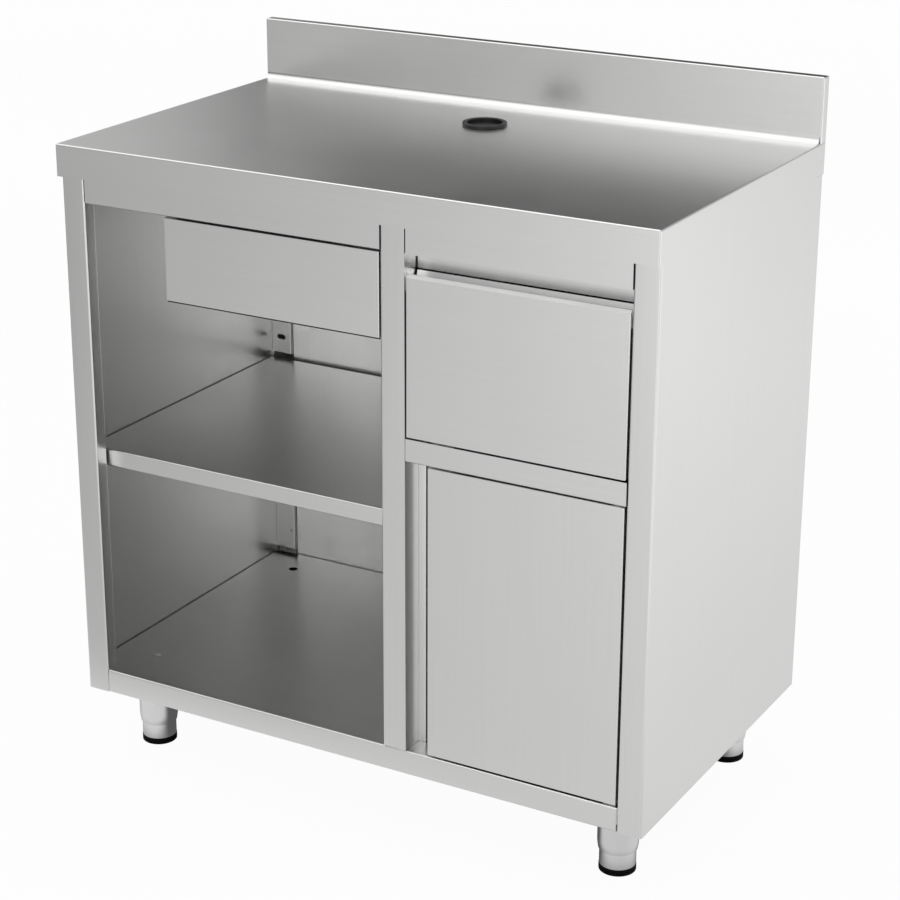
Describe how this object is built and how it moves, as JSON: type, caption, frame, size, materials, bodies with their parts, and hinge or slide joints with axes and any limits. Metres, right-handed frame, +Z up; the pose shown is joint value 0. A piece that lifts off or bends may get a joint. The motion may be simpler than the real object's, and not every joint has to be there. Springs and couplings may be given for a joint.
{
  "type": "coffee machine counter",
  "caption": "Stainless steel counter for a coffee machine, with a coved splashback, an open bay with shelf and hung drawer, a deep drawer above a hinged door, and screw-out feet.",
  "frame": {"origin": "on the floor, under the middle of the counter's width and depth", "axes": "+X to the right, the front faces -Y, +Z up"},
  "size_m": [1, 0.595, 1.122],
  "materials": {
    "brushed_steel": "satin brushed stainless steel",
    "zinc_steel": "zinc plated steel",
    "black_plastic": "moulded black plastic",
    "black_rubber": "moulded black rubber",
    "white_nylon": "moulded nylon"
  },
  "bodies": {
    "cabinet": {"worktop": "brushed_steel", "worktop_front_stiffener": "brushed_steel", "worktop_rear_stiffener": "brushed_steel", "grommet_ring": "black_plastic", "grommet_cap": "black_plastic", "left_side_panel": "brushed_steel", "right_side_panel": "brushed_steel", "rear_left_post": "brushed_steel", "rear_right_post": "brushed_steel", "back_panel": "brushed_steel", "bottom_shelf": "brushed_steel", "mid_post": "brushed_steel", "centre_divider": "brushed_steel", "left_apron": "brushed_steel", "right_apron": "brushed_steel", "mid_rail": "brushed_steel", "middle_shelf": "brushed_steel", "shelf_left_bracket": "brushed_steel", "shelf_right_bracket": "brushed_steel", "leg_sleeve_front_left": "brushed_steel", "leg_sleeve_front_right": "brushed_steel", "leg_sleeve_rear_left": "brushed_steel", "leg_sleeve_rear_right": "brushed_steel", "hung_drawer_left_hanger": "brushed_steel", "hung_drawer_right_hanger": "brushed_steel", "hung_drawer_left_rail": "zinc_steel", "hung_drawer_right_rail": "zinc_steel", "deep_drawer_left_rail": "zinc_steel", "deep_drawer_right_rail": "zinc_steel", "deep_drawer_left_spacer": "zinc_steel", "deep_drawer_right_spacer": "zinc_steel", "door_top_pivot": "zinc_steel", "door_bottom_pivot": "zinc_steel", "door_stop_strip": "brushed_steel", "door_magnet_catch": "black_plastic"},
    "hung_drawer": {"hung_drawer_front": "brushed_steel", "hung_drawer_box": "brushed_steel", "hung_drawer_left_slide": "zinc_steel", "hung_drawer_right_slide": "zinc_steel"},
    "deep_drawer": {"deep_drawer_front": "brushed_steel", "deep_drawer_finger_channel": "brushed_steel", "deep_drawer_box": "brushed_steel", "deep_drawer_left_slide": "zinc_steel", "deep_drawer_right_slide": "zinc_steel", "knock_bar": "brushed_steel", "knock_bar_sleeve": "black_rubber"},
    "door": {"door_skin": "brushed_steel", "door_inner_panel": "brushed_steel", "door_top_bush": "white_nylon", "door_bottom_bush": "white_nylon", "door_strike_plate": "zinc_steel"},
    "front_left_foot": {"foot_front_left": "brushed_steel", "foot_pad_front_left": "black_plastic"},
    "front_right_foot": {"foot_front_right": "brushed_steel", "foot_pad_front_right": "black_plastic"},
    "rear_left_foot": {"foot_rear_left": "brushed_steel", "foot_pad_rear_left": "black_plastic"},
    "rear_right_foot": {"foot_rear_right": "brushed_steel", "foot_pad_rear_right": "black_plastic"}
  },
  "joints": [
    {"name": "hung_drawer_slide", "type": "slide", "parent": "cabinet", "child": "hung_drawer", "axis": [0, -1, 0], "range_m": [0, 0.36]},
    {"name": "deep_drawer_slide", "type": "slide", "parent": "cabinet", "child": "deep_drawer", "axis": [0, -1, 0], "range_m": [0, 0.38]},
    {"name": "door_hinge", "type": "hinge", "parent": "cabinet", "child": "door", "pos_m": [0.4434, -0.2786, 0.3853], "axis": [0, 0, 1], "range_deg": [0, 100]},
    {"name": "front_left_foot_screw", "type": "slide", "parent": "cabinet", "child": "front_left_foot", "axis": [0, 0, -1], "range_m": [0, 0.025]},
    {"name": "front_right_foot_screw", "type": "slide", "parent": "cabinet", "child": "front_right_foot", "axis": [0, 0, -1], "range_m": [0, 0.025]},
    {"name": "rear_left_foot_screw", "type": "slide", "parent": "cabinet", "child": "rear_left_foot", "axis": [0, 0, -1], "range_m": [0, 0.025]},
    {"name": "rear_right_foot_screw", "type": "slide", "parent": "cabinet", "child": "rear_right_foot", "axis": [0, 0, -1], "range_m": [0, 0.025]}
  ]
}
